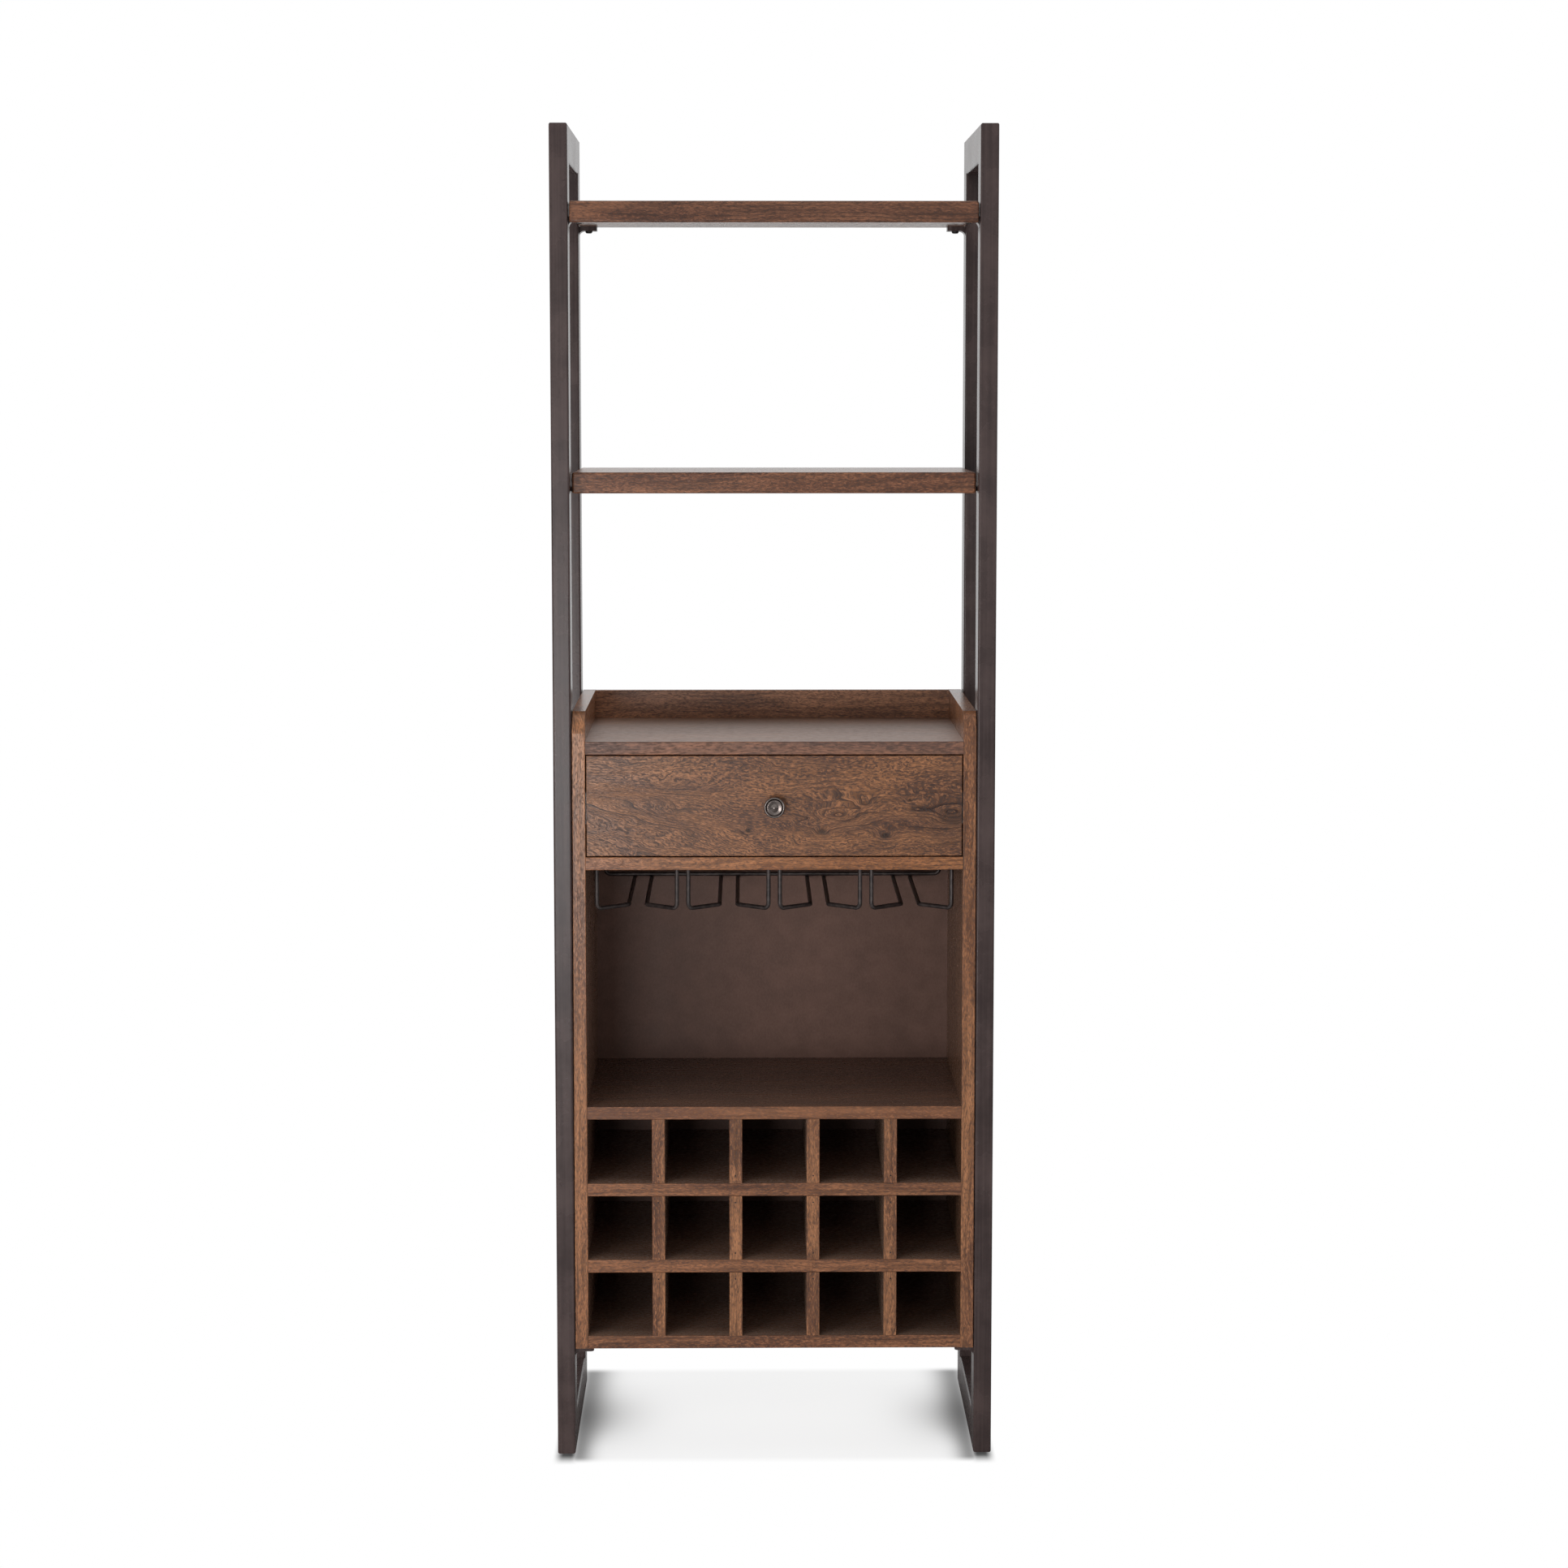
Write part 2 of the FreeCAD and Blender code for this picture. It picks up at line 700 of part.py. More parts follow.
def slide_outer():
    x0 = -cabinet_inner
    end = slide_back_y + slide_running_gap
    member = channel(x0, x0 + slide_outer_reach, slide_height / 2, slide_front_y, end)
    stop = block(x0, x0 + slide_outer_reach, end, end + slide_stop_thickness,
                 slide_z - slide_stop_height / 2, slide_z + slide_stop_height / 2)
    member = member.fuse(stop).removeSplitter()
    for y in slide_screw_places():
        member = member.cut(slide_screw_hole(x0, -1, y))
    return member


def slide_middle():
    x0 = -cabinet_inner
    half = slide_height / 2 - slide_steel - slide_running_gap
    return channel(x0 + slide_middle_start, x0 + slide_middle_end, half, slide_front_y, slide_back_y)


def slide_inner():
    x0 = -cabinet_inner
    half = slide_height / 2 - 2 * (slide_steel + slide_running_gap)
    member = channel(x0 + slide_width, x0 + slide_inner_start, half, slide_front_y, slide_back_y)
    for y in slide_screw_places():
        member = member.cut(slide_screw_hole(x0 + slide_width, 1, y))
    return member


def slide_screws(wood_x, into_wood):
    left = [slide_screw(wood_x, into_wood, y) for y in slide_screw_places()]
    return left + [mirrored(screw) for screw in left]


# Turned knob: base, waisted neck, and a flared head with a beaded rim, a rounded step and a domed button
def drawer_knob():
    def at(radius, height):
        return V(radius, cabinet_front - height, drawer_middle_z)

    rim_end = knob_rim_start + knob_rim_height
    neck_middle = (knob_base_height + knob_neck_height) / 2
    flare = at((knob_neck_radius + knob_radius) / 2 - knob_rim_round,
               (knob_neck_height + knob_rim_start) / 2 + knob_rim_round)
    bead_foot = rim_end - knob_bead_half_width
    step_radius = knob_radius - 2 * knob_bead_half_width
    step_bow = knob_step_round * (1 - math.sqrt(0.5))
    button_foot = knob_step_reach - knob_step_drop
    dome_height = knob_reach - button_foot
    dome_radius = (knob_button_radius ** 2 + dome_height ** 2) / (2 * dome_height)
    dome_turn = math.asin(knob_button_radius / dome_radius) / 2
    dome_middle = at(dome_radius * math.sin(dome_turn), knob_reach - dome_radius * (1 - math.cos(dome_turn)))
    outline = [Part.LineSegment(at(0, 0), at(knob_base_radius, 0)),
               Part.LineSegment(at(knob_base_radius, 0), at(knob_base_radius, knob_base_height)),
               Part.Arc(at(knob_base_radius, knob_base_height),
                        at(knob_neck_radius + knob_rim_round / 2, neck_middle / 2 + knob_base_height / 2),
                        at(knob_neck_radius, knob_neck_height)),
               Part.Arc(at(knob_neck_radius, knob_neck_height), flare, at(knob_radius, knob_rim_start)),
               Part.LineSegment(at(knob_radius, knob_rim_start), at(knob_radius, bead_foot)),
               Part.Arc(at(knob_radius, bead_foot), at(knob_radius - knob_bead_half_width, rim_end),
                        at(step_radius, bead_foot)),
               Part.LineSegment(at(step_radius, bead_foot), at(step_radius, knob_step_reach - knob_step_round)),
               Part.Arc(at(step_radius, knob_step_reach - knob_step_round),
                        at(step_radius - step_bow, knob_step_reach - step_bow),
                        at(step_radius - knob_step_round, knob_step_reach)),
               Part.LineSegment(at(step_radius - knob_step_round, knob_step_reach),
                                at(knob_button_radius, button_foot)),
               Part.Arc(at(knob_button_radius, button_foot), dome_middle, at(0, knob_reach)),
               Part.LineSegment(at(0, knob_reach), at(0, 0))]
    face = Part.Face(Part.Wire([piece.toShape() for piece in outline]))
    knob = face.revolve(at(0, 0), Y_AXIS, 360)
    thread = rod(knob_thread_radius + hole_clearance, at(0, -overrun), -Y_AXIS,
                 knob_thread_depth + hole_end_clearance + overrun)
    return knob.cut(thread)


def knob_screw():
    inside = V(0, drawer_box_front_y + drawer_box_wall, drawer_middle_z)
    head = rod(knob_screw_head_radius, inside, Y_AXIS, knob_screw_head_height)
    length = drawer_box_wall + drawer_front_thickness + knob_thread_depth
    return head.fuse(rod(knob_thread_radius, inside, -Y_AXIS, length)).removeSplitter()


def lug_middle_places(starts):
    return [y + lug_width / 2 for y in starts]


def top_shelf_pieces(pieces):
    under = top_shelf_top - shelf_board_thickness
    ys = lug_middle_places(lug_places)
    pieces["top_shelf_lugs"] = four_sides(*[inner_lug(y, under) for y in lug_places])
    pieces["top_shelf_screws"] = [lug_screw(x, y, under) for x, y in screw_spots(ys)]
    pieces["top_shelf_board"] = [shelf_board(top_shelf_top, top_shelf_setback, top_shelf_back_setback, ys)]
    pieces["top_shelf_nosing"] = [shelf_nosing(top_shelf_top, top_shelf_setback)]


def middle_shelf_pieces(pieces):
    under = middle_shelf_top - shelf_board_thickness
    starts = [front_y + tube_side, back_y - tube_side - lug_width]
    ys = lug_middle_places(starts)
    front_lug = flat_lug(under)
    pieces["middle_shelf_lugs"] = four_sides(front_lug, mirrored_depth(front_lug))
    pieces["middle_shelf_screws"] = [lug_screw(x, y, under) for x, y in screw_spots(ys)]
    board = shelf_board(middle_shelf_top, middle_shelf_setback, middle_shelf_back_setback, ys)
    pieces["middle_shelf_board"] = [board]
    pieces["middle_shelf_nosing"] = [shelf_nosing(middle_shelf_top, middle_shelf_setback)]


def frame_pieces(pieces):
    tubes = {"front_leg": front_leg(), "rear_leg": mirrored_depth(front_leg()),
             "top_bar": top_bar(), "bottom_bar": bottom_bar()}
    for name, tube in tubes.items():
        pieces["left_" + name] = [tube]
        pieces["right_" + name] = [mirrored(tube)]
    pieces["floor_glides"] = [glide(spot) for spot in glide_spots()]


def carcass_pieces(pieces):
    starts = [front_y + lug_inset, back_y - lug_inset - lug_width]
    ys = lug_middle_places(starts)
    pieces["cabinet_lugs"] = four_sides(*[inner_lug(y, cabinet_bottom) for y in starts])
    pieces["cabinet_screws"] = [lug_screw(x, y, cabinet_bottom) for x, y in screw_spots(ys)]
    panel = side_panel()
    pieces["left_side_panel"] = [drilled_from_below(panel, ys, cabinet_bottom)]
    pieces["right_side_panel"] = [mirrored(pieces["left_side_panel"][0])]
    pieces["bottom_board"] = [carcass_board(cabinet_bottom, panel_front)]
    pieces["compartment_floor"] = [carcass_board(floor_bottom, panel_front)]
    pieces["compartment_ceiling"] = [ceiling_board()]
    pieces["tray_board"] = [carcass_board(tray_bottom, cabinet_back - tray_rail_thickness)]
    pieces["tray_back_rail"] = [tray_back_rail()]
    pieces["back_panel"] = [back_panel()]
    pieces["back_panel_screws"] = [back_screw(x, z, 0).removeSplitter() for x, z in back_screw_spots()]
    left_dowels = [dowel(y, z, 0) for y, z in dowel_spots()]
    pieces["carcass_dowels"] = left_dowels + [mirrored(solid) for solid in left_dowels]


def bottle_pieces(pieces):
    pieces["lower_bottle_shelf"] = [bottle_shelf(0)]
    pieces["upper_bottle_shelf"] = [bottle_shelf(1)]
    for index in range(cell_columns - 1):
        pieces["bottle_divider_%d" % (index + 1)] = [bottle_divider(index)]


def rack_pieces(pieces):
    for unit in range(rack_units):
        pieces["glass_hanger_%d" % (unit + 1)] = glass_hanger(unit)
    pieces["glass_rack_cross_wire"] = [rack_cross_wire()]


def drawer_pieces(pieces):
    side = drawer_side()
    pieces["drawer_front"] = [drawer_front()]
    pieces["drawer_box_front"] = [drawer_box_front()]
    pieces["drawer_box_left_side"] = [side]
    pieces["drawer_box_right_side"] = [mirrored(side)]
    pieces["drawer_box_back"] = [drawer_box_back()]
    pieces["drawer_bottom"] = [bottom_panel_block(0)]
    pieces["drawer_front_screws"] = [front_screw(x, z) for x, z in front_screw_spots()]
    pieces["drawer_knob"] = [drawer_knob()]
    pieces["knob_screw"] = [knob_screw()]


def slide_pieces(pieces):
    for name, member in (("slide_outer", slide_outer()), ("slide_middle", slide_middle()),
                         ("slide_inner", slide_inner())):
        pieces["left_" + name] = [member]
        pieces["right_" + name] = [mirrored(member)]
    pieces["slide_cabinet_screws"] = slide_screws(-cabinet_inner, -1)
    pieces["slide_drawer_screws"] = slide_screws(-cabinet_inner + slide_width, 1)


def build():
    pieces = {}
    frame_pieces(pieces)
    top_shelf_pieces(pieces)
    middle_shelf_pieces(pieces)
    carcass_pieces(pieces)
    bottle_pieces(pieces)
    rack_pieces(pieces)
    drawer_pieces(pieces)
    slide_pieces(pieces)
    return pieces


os.makedirs("parts", exist_ok=True)
for node, solids in build().items():
    shape = solids[0] if len(solids) == 1 else Part.makeCompound(solids)
    shape.exportStep("parts/%s.step" % node)
    print(node, len(shape.Solids), shape.isValid(), round(shape.Volume))
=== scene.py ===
import bpy
import bmesh
import math
from mathutils import Matrix, Vector


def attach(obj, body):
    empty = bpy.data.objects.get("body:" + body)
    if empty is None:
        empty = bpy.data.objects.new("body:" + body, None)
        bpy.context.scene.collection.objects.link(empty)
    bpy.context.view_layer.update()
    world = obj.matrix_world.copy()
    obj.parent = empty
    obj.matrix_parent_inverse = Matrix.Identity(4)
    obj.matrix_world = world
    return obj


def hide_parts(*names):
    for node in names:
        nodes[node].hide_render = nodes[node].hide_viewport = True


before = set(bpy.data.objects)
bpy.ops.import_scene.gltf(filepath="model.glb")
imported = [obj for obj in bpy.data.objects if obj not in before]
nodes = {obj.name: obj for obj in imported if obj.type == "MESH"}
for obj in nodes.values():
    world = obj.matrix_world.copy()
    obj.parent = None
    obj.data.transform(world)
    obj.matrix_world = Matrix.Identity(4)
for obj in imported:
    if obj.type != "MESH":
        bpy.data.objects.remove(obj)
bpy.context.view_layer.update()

# Camera
# It stands 4.6 m in front of the cabinet and 1.5 m above the floor, and looks slightly down and
# to the right. Its lens is shifted a little, for the cabinet's height in the picture.
picture_pixels = 1932
focal_pixels = 4128.2
camera_drop_pixels = 60.0
sensor_width = 36.0
camera_place = (-0.0415, -4.7529, 1.5009)
camera_pitch = 0.10384
camera_yaw = 0.01194

lens = bpy.data.cameras.new("camera")
lens.sensor_width = sensor_width
lens.lens = focal_pixels / picture_pixels * sensor_width
lens.shift_y = -camera_drop_pixels / picture_pixels
camera = bpy.data.objects.new("camera", lens)
camera.location = camera_place
camera.rotation_euler = (math.pi / 2 - camera_pitch, 0, -camera_yaw)
bpy.context.scene.collection.objects.link(camera)
bpy.context.scene.camera = camera
bpy.context.scene.view_settings.view_transform = "Standard"


# Studio
# A pale floor under a white surround. The camera and reflections see plain white, and what is
# lit by it gets a plain level. Large soft lamps stand in front, behind, above and on both sides.
class Socket:
    """An output of a node. Sums and products on it add their own nodes."""

    def __init__(self, network, out):
        self.network = network
        self.out = out

    def maths(self, operation, other=0.0, swapped=False):
        first, second = (other, self) if swapped else (self, other)
        return self.network.add("ShaderNodeMath", {"operation": operation},
                                {0: first, 1: second})

    def __add__(self, other):
        return self.maths("ADD", other)

    def __sub__(self, other):
        return self.maths("SUBTRACT", other)

    def __rsub__(self, other):
        return self.maths("SUBTRACT", other, True)

    def __mul__(self, other):
        return self.maths("MULTIPLY", other)

    def __truediv__(self, other):
        return self.maths("DIVIDE", other)

    def __rtruediv__(self, other):
        return self.maths("DIVIDE", other, True)

    def __pow__(self, other):
        return self.maths("POWER", other)

    __radd__ = __add__
    __rmul__ = __mul__


class Network:
    """The nodes of a material or of the surround, added one by one."""

    def __init__(self, owner):
        owner.use_nodes = True
        self.tree = owner.node_tree
        self.tree.nodes.clear()

    def add(self, kind, settings=None, inputs=None, output=0):
        node = self.tree.nodes.new(kind)
        for key, value in (settings or {}).items():
            setattr(node, key, value)
        for key, value in (inputs or {}).items():
            if isinstance(value, Socket):
                self.tree.links.new(value.out, node.inputs[key])
            else:
                node.inputs[key].default_value = value
        if isinstance(output, tuple):
            return [Socket(self, node.outputs[key]) for key in output]
        return Socket(self, node.outputs[output])


class Finish(Network):
    """A material with the patterns that the finishes of the cabinet are made of."""

    def __init__(self, name):
        self.material = bpy.data.materials.new(name)
        super().__init__(self.material)

    def place(self, turn=(0, 0, 0), shift=(0, 0, 0)):
        spot = self.add("ShaderNodeTexCoord", output="Object")
        return self.add("ShaderNodeMapping", {}, {
            "Vector": spot, "Rotation": turn, "Location": shift})

    def stretched(self, spot, scale):
        return self.add("ShaderNodeVectorMath", {"operation": "MULTIPLY"}, {0: spot, 1: scale})

    def noise(self, spot, scale, detail=2.0, roughness=0.5, distortion=0.0):
        return self.add("ShaderNodeTexNoise", {}, {
            "Vector": spot, "Scale": scale, "Detail": detail, "Roughness": roughness,
            "Distortion": distortion})

    def within(self, value, low, high):
        return self.add("ShaderNodeMapRange", {"interpolation_type": "SMOOTHSTEP"},
                        {"Value": value, "From Min": low, "From Max": high})

    def blend(self, share, first, second):
        return self.add("ShaderNodeMix", {"data_type": "RGBA"}, {0: share, 6: first, 7: second}, 2)

    def bump(self, height, strength, distance):
        return self.add("ShaderNodeBump", {}, {
            "Height": height, "Strength": strength, "Distance": distance})

    def finished(self, surface):
        self.add("ShaderNodeOutputMaterial", {}, {"Surface": surface}, ())
        return self.material

    def principled(self, inputs):
        return self.finished(self.add("ShaderNodeBsdfPrincipled", {}, inputs))


def make_object(name, mesh):
    thing = bpy.data.objects.new(name, mesh)
    bpy.context.scene.collection.objects.link(thing)
    return thing


def mesh_from(work, name):
    mesh = bpy.data.meshes.new(name)
    work.to_mesh(mesh)
    work.free()
    return mesh


floor_half = 9.0
floor_colour = (0.93, 0.93, 0.93, 1.0)
shade_colour = (0.07, 0.07, 0.07, 1.0)
white = (1.0, 1.0, 1.0, 1.0)

# The paler area under the cabinet: half its width and depth, its middle, level and soft edge.
footprint_half = (0.300, 0.231)
footprint_middle_y = 0.041
footprint_glow = 0.82
footprint_soft = 0.03

# The shade beside the bottom bars: a narrow core along each bar and a wide part at its middle.
bar_x = 0.276
bar_outside = 0.305
core_shade = 0.68
core_width = (0.020, 0.030)
core_narrows = (-0.13, 0.00)
wide_shade = 0.47
wide_width = (0.072, 0.107)
wide_y = 0.035

# The contact shade under the four feet, across and along the bars.
frame_middle_y = 0.0125
foot_x = 0.2925
foot_across = (0.005, 0.021)
foot_along = (0.162, 0.210)
foot_shade = 0.94

work = bmesh.new()
bmesh.ops.create_grid(work, x_segments=2, y_segments=2, size=floor_half)
floor = make_object("studio_floor", mesh_from(work, "studio_floor"))
paper = Finish("studio_paper")
across, deep = paper.add("ShaderNodeSeparateXYZ", {}, {0: paper.place()}, (0, 1))
side = across.maths("ABSOLUTE")
depth = (deep - footprint_middle_y).maths("ABSOLUTE")
ends = 1 - paper.within(depth, footprint_half[1] - footprint_soft, footprint_half[1])
under = ends * (1 - paper.within(side, footprint_half[0] - footprint_soft, footprint_half[0]))
glow = 1 - under * (1 - footprint_glow)


def fades(squared):
    return (-1.0 * squared).maths("EXPONENT")


inside_painted_light_shade = ends * (1 - paper.within(side, bar_x, bar_outside))
away = side - bar_x
core_widens = (core_width[1] - core_width[0]) * paper.within(deep, *core_narrows)
core_away = away / (core_width[0] + core_widens)
core = inside_painted_light_shade * core_shade * fades(core_away * core_away)
wide_away = away / wide_width[0]
wide_along = (deep - wide_y) / wide_width[1]
wide = inside_painted_light_shade * wide_shade * fades(wide_away * wide_away + wide_along * wide_along)
beside = 1 - (1 - core) * (1 - wide)
from_foot = (side - foot_x).maths("ABSOLUTE")
from_middle = (deep - frame_middle_y).maths("ABSOLUTE")
at_foot = foot_shade * (1 - paper.within(from_foot, *foot_across)) * (
    1 - paper.within(from_middle, *foot_along))

seen = paper.add("ShaderNodeLightPath", output="Is Camera Ray")
matt = paper.add("ShaderNodeBsdfDiffuse", {}, {"Color": floor_colour})
plain = paper.add("ShaderNodeEmission", {}, {"Color": white, "Strength": 1.0})
shaded = paper.add("ShaderNodeBsdfDiffuse", {}, {"Color": shade_colour})
lit = paper.add("ShaderNodeMixShader", {}, {0: glow * seen, 1: matt, 2: plain})
floor.data.materials.append(paper.finished(paper.add("ShaderNodeMixShader", {}, {
    0: beside.maths("MAXIMUM", at_foot), 1: lit, 2: shaded})))

world_level = 0.14
surround = bpy.data.worlds.new("studio_surround")
bpy.context.scene.world = surround
sky = Network(surround)
to_camera, to_gloss, through = sky.add("ShaderNodeLightPath", output=(
    "Is Camera Ray", "Is Glossy Ray", "Is Transmission Ray"))
seen_directly = (to_camera + to_gloss + through).maths("MINIMUM", 1.0)
lit_by = sky.add("ShaderNodeBackground", {}, {"Color": white, "Strength": world_level})
seen_as = sky.add("ShaderNodeBackground", {}, {"Color": white, "Strength": 1.0})
chosen = sky.add("ShaderNodeMixShader", {}, {0: seen_directly, 1: lit_by, 2: seen_as})
sky.add("ShaderNodeOutputWorld", {}, {"Surface": chosen}, ())

# Name, place, point that it faces, side, watts, and whether reflections show it.
lamps = (
    ("key_lamp", (-1.3, -1.9, 0.75), (0.0, 0.0, 0.70), 0.9, 17.5, False),
    ("fill_lamp", (1.6, -3.3, 0.6), (0.0, 0.0, 0.5), 1.2, 11.5, False),
    ("low_lamp", (-1.0, -4.6, 0.50), (-0.3, 0.0, 0.75), 0.9, 43.0, True),
    ("overhead_lamp", (-0.5, -0.75, 3.3), (0.0, 0.0, 1.0), 1.4, 22.0, False),
    ("rear_lamp", (0.5, 2.8, 1.5), (0.0, 0.0, 0.9), 1.6, 30.0, False),
    ("left_lamp", (-3.0, 0.3, 1.1), (0.0, 0.0, 0.9), 1.4, 20.0, False),
    ("right_lamp", (3.0, 0.3, 1.1), (0.0, 0.0, 0.9), 1.4, 20.0, False),
)
for name, spot, aim, size, watts, mirrored in lamps:
    data = bpy.data.lights.new(name, "AREA")
    data.shape = "SQUARE"
    data.size = size
    data.energy = watts
    lamp = bpy.data.objects.new(name, data)
    lamp.location = spot
    lamp.visible_glossy = mirrored
    lamp.visible_camera = False
    lamp.rotation_euler = (Vector(aim) - Vector(spot)).to_track_quat("-Z", "Y").to_euler()
    bpy.context.scene.collection.objects.link(lamp)


# Side frames
# Two closed frames of 25 x 50 mm rectangular steel tube, mitred, welded and ground flush at the
# corners, then coated in a satin gunmetal brown. The lugs for shelves and cabinet are coated too.
def srgb(red, green, blue):
    parts = [part / 255 for part in (red, green, blue)]
    linear = [part / 12.92 if part <= 0.04045 else ((part + 0.055) / 1.055) ** 2.4
              for part in parts]
    return (*linear, 1.0)


def dress(names, material):
    for name in names:
        for place in nodes[name].material_slots:
            place.material = material


steel_dark = srgb(51, 39, 38)
steel_light = srgb(74, 60, 58)
steel_cloud_scale = 14.0
steel_cloud_share = 0.65
steel_streak_scale = (260.0, 260.0, 5.0)
steel_tone_edges = (0.35, 0.68)
steel_grain_scale = 1400.0
steel_rough = (0.20, 0.14)
steel_shine = 0.28
steel_relief = (0.12, 0.0002)

steel = Finish("gunmetal_coat")
spot = steel.place()
cloud = steel.noise(spot, steel_cloud_scale, detail=4.0, roughness=0.6)
streak = steel.noise(steel.stretched(spot, steel_streak_scale), 1.0)
grain = steel.noise(spot, steel_grain_scale, detail=1.0)
tone = steel.within(cloud * steel_cloud_share + streak * (1 - steel_cloud_share), *steel_tone_edges)
steel.principled({
    "Base Color": steel.blend(tone, steel_dark, steel_light),
    "Roughness": steel_rough[0] + steel_rough[1] * cloud,
    "Metallic": 0.0,
    "Specular IOR Level": steel_shine,
    "Normal": steel.bump(grain, *steel_relief)})
tubes = [side + part for side in ("left", "right")
         for part in ("_front_leg", "_rear_leg", "_top_bar", "_bottom_bar")]
dress(tubes + ["top_shelf_lugs", "middle_shelf_lugs", "cabinet_lugs"], steel.material)


# Floor glides
# Four domed glides of moulded black plastic, each plugged into the bottom bar from below. Their
# faces are a little worn.
def mottled(name, dark, light, scale, edges, rough, metallic, relief, detail=2.0, roughness=0.5):
    finish = Finish(name)
    spots = finish.noise(finish.stretched(finish.place(), scale), 1.0, detail, roughness)
    return finish.principled({
        "Base Color": finish.blend(finish.within(spots, *edges), dark, light),
        "Roughness": rough[0] + rough[1] * spots,
        "Metallic": metallic,
        "Normal": finish.bump(spots, *relief)})


glide_black = srgb(34, 32, 32)
glide_worn = srgb(58, 55, 53)

dress(["floor_glides"], mottled(
    "glide_plastic", glide_black, glide_worn, scale=(420.0, 420.0, 420.0), edges=(0.45, 0.75),
    rough=(0.42, 0.20), metallic=0.0, relief=(0.2, 0.0002), detail=3.0, roughness=0.65))


# Dark screws
# Pan-head wood screws, blackened, driven up through the lugs into the shelves and the cabinet.
# Their faces are rubbed a little brighter in spots.
screw_black = srgb(36, 33, 32)
screw_edge = srgb(84, 78, 74)

blackened = mottled(
    "blackened_screws", screw_black, screw_edge, scale=(900.0, 900.0, 900.0), edges=(0.5, 0.8),
    rough=(0.32, 0.20), metallic=0.7, relief=(0.15, 0.0001))
dress(["top_shelf_screws", "middle_shelf_screws", "cabinet_screws"], blackened)


# Shelves
# Two solid hardwood boards, walnut stained and lacquered in satin, each with a deeper nosing
# glued along its front. The grain runs from left to right.
turns = {"X": (0.0, 0.0, 0.0), "Y": (0.0, 0.0, -math.pi / 2), "Z": (0.0, math.pi / 2, 0.0),
         "face": (-math.pi / 2, 0.0, 0.0)}
drift_scale = (4.5, 15.0, 15.0)
wobble_scale = (75.0, 60.0, 60.0)
patch_scale = (7.0, 26.0, 26.0)
patch_edges = (0.36, 0.6)
patch_beside_figure = 0.5
line_sharpness = 2.5
line_least = 0.25
streak_scale = (9.0, 190.0, 190.0)
streak_edges = (0.42, 0.66)
pore_edges = (0.47, 0.66)
fleck_edges = (0.50, 0.32)
fleck_share = 0.4
fleck_lift = 1.6
thread_edges = (0.15, 0.95)
thread_dash_edges = (0.36, 0.56)
pores_beside_threads = 0.85
knot_brown = srgb(40, 27, 21)
knot_share = 0.9
# Painted light and shade inside: the depth where it starts behind the front edge, and its top.
painted_depth = (-0.1610, -0.1585)
painted_top = 0.9955
pore_rough = 0.14
tone_rough = 0.06
wood_relief = (0.14, 0.0003)


